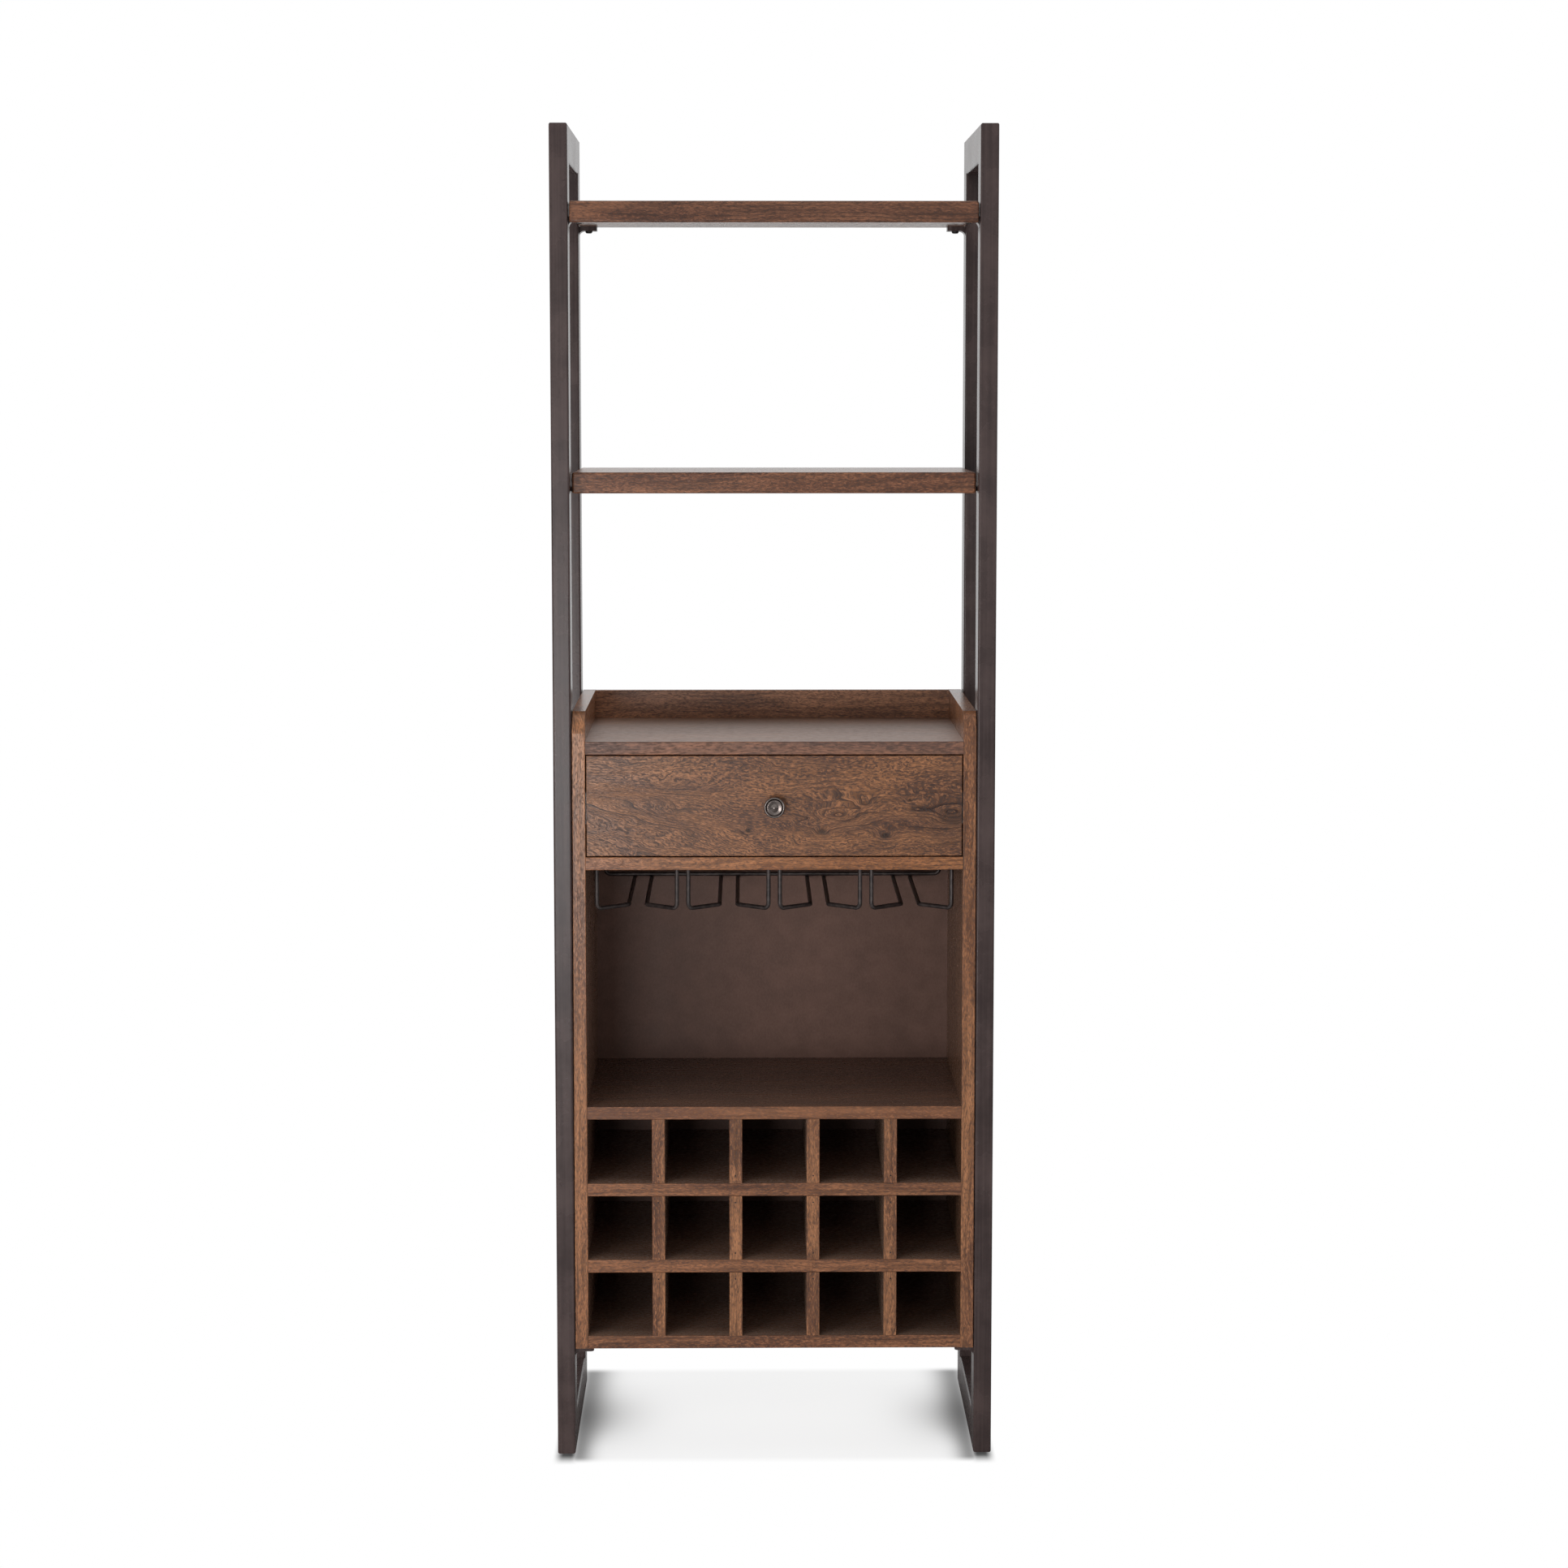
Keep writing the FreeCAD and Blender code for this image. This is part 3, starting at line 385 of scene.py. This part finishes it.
def walnut(name, grain, light, middle, dark, seed=(0.0, 0.0, 0.0), ring=0.0062, sway=0.016,
           heart=(0.05, 0.09), lines=0.75, pores=0.62, curl=0.0025, gloss=0.20, shine=0.27,
           streaked=0.45, tone_scale=(4.0, 30.0, 30.0), tone_edges=(0.36, 0.64),
           dash_scale=(150.0, 740.0, 740.0), thread=None, figure=None,
           inside_painted_light_shade=None, inner_x=None, painted_share=0.62):
    wood = Finish(name)
    spot = wood.place(turns[grain], seed)
    along, across, deep = wood.add("ShaderNodeSeparateXYZ", {}, {0: spot}, (0, 1, 2))
    drift = wood.noise(wood.stretched(spot, drift_scale), 1.0, detail=2.5, distortion=0.3) - 0.5
    wobble = wood.noise(wood.stretched(spot, wobble_scale), 1.0, roughness=0.55) - 0.5
    sweep = drift * (sway * 2)
    ripple = wobble * (curl * 2)
    bent = across + sweep
    deep = deep + sweep

    # Year rings, which show in patches and round the knots.
    patch = wood.noise(wood.stretched(spot, patch_scale), 1.0)
    shown = wood.within(patch, *patch_edges)
    core = None
    if figure is not None:
        push, veined, core = figure(wood, along, across)
        bent = bent + push
        shown = (shown * patch_beside_figure).maths("MAXIMUM", veined)
    centre_a = bent + heart[0]
    centre_d = deep + heart[1]
    count = (centre_a * centre_a + centre_d * centre_d) ** 0.5 / ring
    year = wood.add("ShaderNodeTexWhiteNoise", {"noise_dimensions": "1D"},
                    {"W": count.maths("FLOOR")})
    strength = line_least + (1 - line_least) * year
    line = (count.maths("FRACT") ** line_sharpness) * strength * shown

    # Streaks, short pores and flecks, which follow the bent grain.
    flow = wood.add("ShaderNodeCombineXYZ", {}, {0: along, 1: bent + ripple, 2: deep + ripple})
    streaks = wood.noise(wood.stretched(flow, streak_scale), 1.0, detail=3.0, roughness=0.6)
    dashes = wood.noise(wood.stretched(flow, dash_scale), 1.0, detail=1.5, roughness=0.6)
    tone = wood.noise(wood.stretched(flow, tone_scale), 1.0, detail=3.0, roughness=0.55)
    pore = wood.within(dashes, *pore_edges)
    if thread is not None:
        turn = ((bent + ripple) / thread).maths("FRACT")
        thin = 1 - wood.within(turn * (1 - turn) * 4, *thread_edges)
        thin = thin * wood.within(dashes, *thread_dash_edges)
        pore = (pore * pores_beside_threads).maths("MAXIMUM", thin)
    fleck = wood.within(dashes, *fleck_edges)
    streak = wood.within(streaks, *streak_edges)
    bright = tuple(min(1.0, part * fleck_lift) for part in light)
    colour = wood.blend(wood.within(tone, *tone_edges), middle, light)
    colour = wood.blend(fleck * fleck_share, colour, bright)
    shade = 1 - (1 - line * lines) * (1 - pore * pores) * (1 - streak * streaked)
    colour = wood.blend(shade, colour, dark)
    if core is not None:
        colour = wood.blend(core * knot_share, colour, knot_brown)

    # Painted shade and light mixed into the faces behind the front edges, inside the cabinet.
    if inside_painted_light_shade is not None:
        side, depth, height = wood.add("ShaderNodeSeparateXYZ", {}, {
            0: wood.add("ShaderNodeTexCoord", output="Object")}, (0, 1, 2))
        painted_mask = wood.within(depth, *painted_depth)
        if inner_x is not None:
            painted_mask = painted_mask * side.maths("ABSOLUTE").maths("LESS_THAN", inner_x)
            painted_mask = painted_mask * height.maths("LESS_THAN", painted_top)
        colour = wood.blend(painted_mask * painted_share, colour, inside_painted_light_shade)
    return wood.principled({
        "Base Color": colour,
        "Roughness": gloss + pore_rough * pore + tone_rough * tone,
        "Specular IOR Level": shine,
        "Normal": wood.bump(1 - shade, *wood_relief)})


# The top shelf is darker than the middle one: painted shade for the weaker light at the top.
top_shelf_painted_shade_light = srgb(126, 85, 63)
top_shelf_painted_shade_middle = srgb(94, 60, 45)
middle_shelf_light = srgb(142, 96, 70)
middle_shelf_middle = srgb(106, 68, 50)
shelf_dark = srgb(44, 29, 24)

dress(["top_shelf_board", "top_shelf_nosing"], walnut(
    "top_shelf_walnut", "X", top_shelf_painted_shade_light, top_shelf_painted_shade_middle, shelf_dark,
    seed=(0.31, 0.0, 0.0)))
dress(["middle_shelf_board", "middle_shelf_nosing"], walnut(
    "middle_shelf_walnut", "X", middle_shelf_light, middle_shelf_middle, shelf_dark,
    seed=(1.7, 0.03, 0.01)))


# Cabinet sides
# One solid panel each side, grain upright, whose top front corner is swept back to the gallery.
# The inner faces below the tray have painted shade, lighter on the left side than the right.
panel_light = srgb(162, 112, 78)
panel_middle = srgb(126, 84, 60)
panel_dark = srgb(56, 38, 30)
# Painted shade on inner faces: the left one lighter, the right one and the ceiling darker.
left_inner_painted_shade = srgb(124, 102, 90)
inner_painted_shade = srgb(84, 68, 58)
panel_inner = 0.262

dress(["left_side_panel"], walnut(
    "left_panel_walnut", "Z", panel_light, panel_middle, panel_dark,
    seed=(0.4, 0.02, 0.2), inside_painted_light_shade=left_inner_painted_shade, inner_x=panel_inner))
dress(["right_side_panel"], walnut(
    "right_panel_walnut", "Z", panel_light, panel_middle, panel_dark,
    seed=(2.3, 0.05, 0.1), inside_painted_light_shade=inner_painted_shade, inner_x=panel_inner))


# Cabinet boards
# The tray, the rail under the drawer, the compartment floor and the bottom board run between
# the sides and are dowelled into them. The rail behind the tray stands on the back panel.
board_light = srgb(144, 97, 68)
board_middle = srgb(108, 71, 52)
board_dark = srgb(50, 33, 27)
tray_light = srgb(128, 84, 60)
tray_middle = srgb(94, 60, 44)
# Painted reflection: a pale colour on the tray's top, as a sheen of the white surround.
tray_top_painted_sheen = srgb(190, 160, 142)
back_rail_light = srgb(188, 136, 104)
back_rail_middle = srgb(148, 104, 80)
front_rail_light = srgb(158, 106, 70)
front_rail_middle = srgb(122, 78, 53)
# Painted shade on the compartment floor: a greyer, darker colour behind its front edge.
compartment_floor_painted_shade = srgb(98, 82, 74)
# Painted light in the bottle cells: a paler, greyer colour on faces behind the front edges.
cell_painted_light = srgb(136, 115, 102)
cell_painted_share = 0.70

dress(["tray_board"], walnut(
    "tray_walnut", "X", tray_light, tray_middle, board_dark, seed=(0.8, 0.02, 0.0),
    gloss=0.38, shine=0.50, dash_scale=(90.0, 420.0, 420.0), inside_painted_light_shade=tray_top_painted_sheen, painted_share=0.36))
dress(["tray_back_rail"], walnut(
    "tray_rail_walnut", "X", back_rail_light, back_rail_middle, board_dark,
    seed=(1.9, 0.0, 0.04)))
# The faces behind its front edge get painted shade inside the compartment.
dress(["compartment_ceiling"], walnut(
    "ceiling_walnut", "X", front_rail_light, front_rail_middle, board_dark,
    seed=(3.1, 0.0, 0.02), inside_painted_light_shade=inner_painted_shade))
dress(["compartment_floor"], walnut(
    "floor_walnut", "X", board_light, board_middle, board_dark, seed=(4.2, 0.01, 0.03),
    pores=0.35, streaked=0.30, inside_painted_light_shade=compartment_floor_painted_shade))
dress(["bottom_board"], walnut(
    "bottom_walnut", "X", board_light, board_middle, board_dark, seed=(5.4, 0.03, 0.0),
    inside_painted_light_shade=cell_painted_light, painted_share=cell_painted_share))


# Bottle grid
# Two shelves and four dividers, halved into each other, make fifteen cells. The dividers are
# held at the crossings with small brads, whose punched heads show as dark dots.
# Faces inside the cells get painted light, mixed in behind the front edges.
for place, name in enumerate(("lower_bottle_shelf", "upper_bottle_shelf")):
    dress([name], walnut(
        name + "_walnut", "X", board_light, board_middle, board_dark,
        seed=(0.7 + 1.3 * place, 0.02, 0.01 * place),
        inside_painted_light_shade=cell_painted_light, painted_share=cell_painted_share))
for place in range(4):
    name = "bottle_divider_%d" % (place + 1)
    dress([name], walnut(
        name + "_walnut", "Z", panel_light, board_middle, panel_dark,
        seed=(0.9 + 0.83 * place, 0.01 * place, 0.02),
        inside_painted_light_shade=cell_painted_light, painted_share=cell_painted_share))


# Brads
# Small steel brads driven through the front edges of the dividers into the two shelves. Each
# has a flat head, punched in so far that only its face shows as a dark dot.
brad_x = (-0.1623, -0.0547, 0.0542, 0.1625)
brad_z = (0.4037, 0.3657, 0.2935, 0.2565)
brad_radius = 0.0011
brad_bevel = 0.00015
brad_proud = 0.0002
brad_bite = 0.0008
brad_sides = 16
brad_front = -0.1615

work = bmesh.new()
brad_length = brad_proud + brad_bite
for x in brad_x:
    for z in brad_z:
        spot = Matrix.Translation((x, brad_front - brad_proud + brad_length / 2, z))
        bmesh.ops.create_cone(work, cap_ends=True, segments=brad_sides, radius1=brad_radius,
                              radius2=brad_radius, depth=brad_length,
                              matrix=spot @ Matrix.Rotation(math.pi / 2, 4, "X"))
rims = [edge for edge in work.edges
        if all(corner.co.y < brad_front for corner in edge.verts)]
bmesh.ops.bevel(work, geom=rims, offset=brad_bevel, offset_type="OFFSET", segments=2,
                profile=0.5, affect="EDGES", material=-1)
brads = make_object("divider_brads", mesh_from(work, "divider_brads"))
brads.data.materials.append(blackened)
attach(brads, "root")


# Back panel
# A plain stained board without figure, let into a rebate behind the cabinet and held with ten
# small screws.
back_panel_light = srgb(110, 83, 73)
back_panel_dark = srgb(86, 63, 54)
mottle_scale = 34.0
mottle_share = 0.6
fibre_scale = (420.0, 420.0, 260.0)
back_panel_edges = (0.15, 0.85)
back_panel_rough = (0.42, 0.12)
back_panel_shine = 0.2
back_panel_relief = (0.1, 0.0002)

panel_stain = Finish("back_panel_stain")
spot = panel_stain.place()
mottle = panel_stain.noise(spot, mottle_scale, detail=3.0)
fibre = panel_stain.noise(panel_stain.stretched(spot, fibre_scale), 1.0)
tone = panel_stain.within(mottle * mottle_share + fibre * (1 - mottle_share), *back_panel_edges)
panel_stain.principled({
    "Base Color": panel_stain.blend(tone, back_panel_dark, back_panel_light),
    "Roughness": back_panel_rough[0] + back_panel_rough[1] * mottle,
    "Specular IOR Level": back_panel_shine,
    "Normal": panel_stain.bump(fibre, *back_panel_relief)})
dress(["back_panel"], panel_stain.material)


# Small zinc screws
# Countersunk screws of the back panel, and the screws of the drawer front, the knob and the
# slides. All are steel plated in bright zinc.
zinc_light = srgb(188, 190, 192)
zinc_dark = srgb(140, 142, 146)

dress(["back_panel_screws", "drawer_front_screws", "slide_cabinet_screws",
       "slide_drawer_screws", "knob_screw"], mottled(
    "zinc_screws", zinc_dark, zinc_light, scale=(700.0, 700.0, 700.0), edges=(0.35, 0.65),
    rough=(0.26, 0.16), metallic=1.0, relief=(0.08, 0.0001)))


# Dowels
# Sixteen plain beech dowels, glued into the joints between the boards and the sides, where they
# stay hidden.
beech_light = srgb(214, 180, 140)
beech_dark = srgb(176, 138, 98)

dress(["carcass_dowels"], mottled(
    "beech_dowels", beech_dark, beech_light, scale=(60.0, 900.0, 900.0), edges=(0.35, 0.65),
    rough=(0.6, 0.1), metallic=0.0, relief=(0.15, 0.0002)))


# Stemware rack
# Four hangers of bent steel wire whose ends are let into the ceiling, with one long wire welded
# across over their back ends. Coated dark bronze.
wire_dark = srgb(44, 38, 37)
wire_light = srgb(70, 61, 59)

bronze = mottled(
    "dark_bronze_wire", wire_dark, wire_light, scale=(120.0, 120.0, 120.0), edges=(0.35, 0.7),
    rough=(0.28, 0.16), metallic=0.35, relief=(0.06, 0.0002), detail=3.0, roughness=0.6)
dress(["glass_hanger_%d" % unit for unit in range(1, 5)], bronze)

cross_half = 0.24705
cross_y = 0.1585
cross_z = 0.7831
cross_top = 0.8450
cross_bend = 0.008
wire_radius = 0.003
wire_sides = 16
bend_steps = 8

work = bmesh.new()
bmesh.ops.create_circle(work, segments=wire_sides, radius=wire_radius, cap_ends=False,
                        matrix=Matrix.Translation((-cross_half, cross_y, cross_top)))
rim = list(work.edges)


def straight(rim, move):
    made = bmesh.ops.extrude_edge_only(work, edges=rim)["geom"]
    bmesh.ops.translate(work, vec=move,
                        verts=[part for part in made if isinstance(part, bmesh.types.BMVert)])
    return [part for part in made if isinstance(part, bmesh.types.BMEdge)
            and len(part.link_faces) == 1]


def turned(rim, centre, angle):
    made = bmesh.ops.spin(work, geom=rim, cent=centre, axis=(0, 1, 0), dvec=(0, 0, 0),
                          angle=angle, steps=bend_steps, use_duplicate=False)["geom_last"]
    return [part for part in made if isinstance(part, bmesh.types.BMEdge)]


drop = cross_top - cross_z - cross_bend
rim = straight(rim, (0, 0, -drop))
rim = turned(rim, (-cross_half + cross_bend, cross_y, cross_z + cross_bend), -math.pi / 2)
rim = straight(rim, (2 * (cross_half - cross_bend), 0, 0))
rim = turned(rim, (cross_half - cross_bend, cross_y, cross_z + cross_bend), -math.pi / 2)
rim = straight(rim, (0, 0, drop))
open_edges = [edge for edge in work.edges if len(edge.link_faces) == 1]
bmesh.ops.holes_fill(work, edges=open_edges, sides=0)
bmesh.ops.recalc_face_normals(work, faces=work.faces)
for face in work.faces:
    face.smooth = len(face.verts) == 4
cross_wire = make_object("rack_cross_wire", mesh_from(work, "rack_cross_wire"))
cross_wire.data.materials.append(bronze)
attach(cross_wire, "root")
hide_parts("glass_rack_cross_wire")


# Drawer front
# One wide figured board, grain from left to right, swirling round a row of small knots. At its
# left the lower lines sweep down towards the middle.
front_light = srgb(153, 105, 72)
front_middle = srgb(104, 72, 56)
front_dark = srgb(48, 32, 27)

# Place along and across the board, size, push on the grain round it, and darkness of its core.
front_knots = (
    (-0.0363, 0.8900, 0.0042, 0.010, 1.0),
    (0.0653, 0.8887, 0.0060, 0.022, 0.8),
    (0.1534, 0.8829, 0.0065, 0.026, 1.0),
    (0.1251, 0.9284, 0.0060, 0.020, 0.6),
    (0.1870, 0.9320, 0.0028, 0.006, 0.8),
    (0.2480, 0.9070, 0.0210, 0.055, 0.5),
    (0.0880, 0.9130, 0.0200, 0.042, 0.0),
    (-0.1350, 0.9320, 0.0120, 0.010, 0.0),
)
knot_stretch = 1.6
knot_vein_edges = (0.06, 0.35)
knot_core_edges = (0.5, 0.95)
sweep_end = -0.06
sweep_fade = 0.10
sweep_slope = 0.40
sweep_height = (0.955, 0.925)


def front_figure(wood, along, across):
    low = wood.within(across, *sweep_height)
    push = (along - sweep_end).maths("MINIMUM", 0.0) * low * sweep_slope
    veined = wood.within(along, sweep_end, sweep_end - sweep_fade) * low
    core = None
    for knot_along, knot_across, size, knot_push, darkness in front_knots:
        far_a = (along - knot_along) / (size * knot_stretch)
        far_c = (across - knot_across) / size
        near = 1 / (1 + (far_a * far_a + far_c * far_c))
        push = push + near * knot_push
        veined = veined.maths("MAXIMUM", wood.within(near, *knot_vein_edges))
        if darkness:
            heartwood = wood.within(near, *knot_core_edges) * darkness
            core = heartwood if core is None else core.maths("MAXIMUM", heartwood)
    return push, veined, core


dress(["drawer_front"], walnut(
    "drawer_front_walnut", "face", front_light, front_middle, front_dark, ring=0.0075,
    sway=0.045, heart=(-0.60, 0.25), lines=1.3, pores=0.84, curl=0.0034, streaked=0.25,
    tone_scale=(11.0, 38.0, 38.0), tone_edges=(0.28, 0.74), dash_scale=(140.0, 640.0, 640.0),
    thread=0.0034, figure=front_figure))


# Drawer box
# Four walls of stained wood with a thin bottom let into a groove. The grain of each wall runs
# along it.
box_light = srgb(150, 116, 88)
box_middle = srgb(128, 96, 72)
box_dark = srgb(84, 60, 46)

dress(["drawer_box_front", "drawer_box_back"], walnut(
    "drawer_cross_wall_wood", "X", box_light, box_middle, box_dark, seed=(2.0, 0.0, 0.0)))
dress(["drawer_box_left_side", "drawer_box_right_side"], walnut(
    "drawer_side_wall_wood", "Y", box_light, box_middle, box_dark, seed=(1.0, 0.0, 0.0)))
dress(["drawer_bottom"], walnut(
    "drawer_bottom_wood", "X", box_light, box_middle, box_dark, seed=(3.0, 0.0, 0.0)))


# Knob
# Turned from brass, plated dark nickel and polished: a low dome inside a ring on a flared head.
# One screw through the drawer front holds it.
nickel_light = srgb(112, 104, 100)
nickel_dark = srgb(88, 80, 77)

dress(["drawer_knob"], mottled(
    "dark_nickel", nickel_dark, nickel_light, scale=(130.0, 130.0, 130.0), edges=(0.35, 0.65),
    rough=(0.16, 0.12), metallic=1.0, relief=(0.02, 0.0001)))


# Drawer slides
# Three nested channels of folded zinc-plated steel on each side of the drawer box. The outer one
# is screwed to the side panel and the inner one to the box.
slides = [side + "_slide_" + part for side in ("left", "right")
          for part in ("outer", "middle", "inner")]
dress(slides, mottled(
    "slide_steel", zinc_dark, zinc_light, scale=(900.0, 18.0, 900.0), edges=(0.35, 0.65),
    rough=(0.24, 0.18), metallic=1.0, relief=(0.08, 0.0001)))
